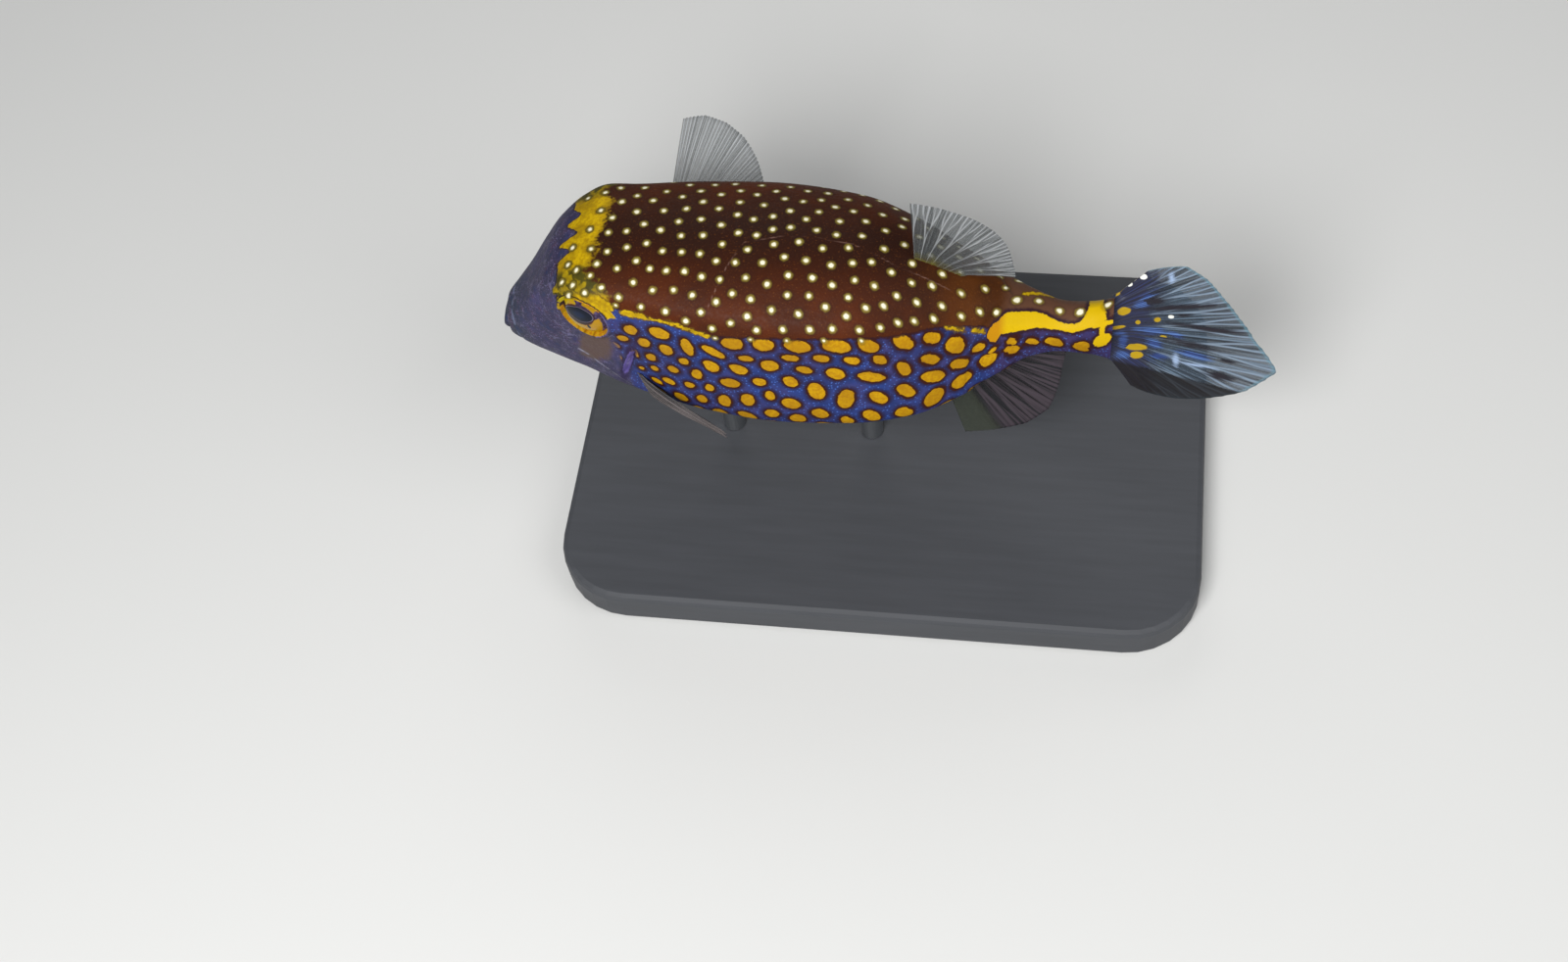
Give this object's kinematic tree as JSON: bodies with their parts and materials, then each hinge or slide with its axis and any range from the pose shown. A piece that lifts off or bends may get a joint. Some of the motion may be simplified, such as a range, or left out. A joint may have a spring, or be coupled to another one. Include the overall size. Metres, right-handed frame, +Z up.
{
  "type": "spotted boxfish",
  "caption": "Life-size still model of a male spotted boxfish: boxy spotted body, small fleshy mouth, fanned fins with rays, held level on a plain flat stand with two short rods",
  "frame": {"origin": "On the floor under the middle of the whole model: the centre of the underside of its bounding box.", "axes": "+Z is up. The snout points to -X and the tail to +X. The fish's left side faces -Y and its right side +Y."},
  "size_m": [0.1432, 0.084, 0.0805],
  "materials": {
    "skin_face": "smooth moist skin, purple-blue",
    "skin_back": "smooth bony skin, dark brown with small cream spots",
    "skin_flank": "smooth skin, blue with gold-orange spots and a yellow band",
    "eye": "wet glossy eye",
    "fin": "thin grey membrane with fine rays",
    "tail_fin": "thin membrane, blue at its base and grey outside",
    "stand_paint": "flat dark grey paint on wood",
    "stand_steel": "brushed"
  },
  "bodies": {
    "root": {"head": "skin_face", "carapace": "skin_back", "tail_stalk": "skin_flank", "left_eye": "eye", "right_eye": "eye", "dorsal_fin": "fin", "anal_fin": "fin", "left_pectoral_fin": "fin", "right_pectoral_fin": "fin", "caudal_fin": "tail_fin", "stand_base": "stand_paint", "stand_rod_front": "stand_steel", "stand_rod_rear": "stand_steel"}
  },
  "joints": []
}
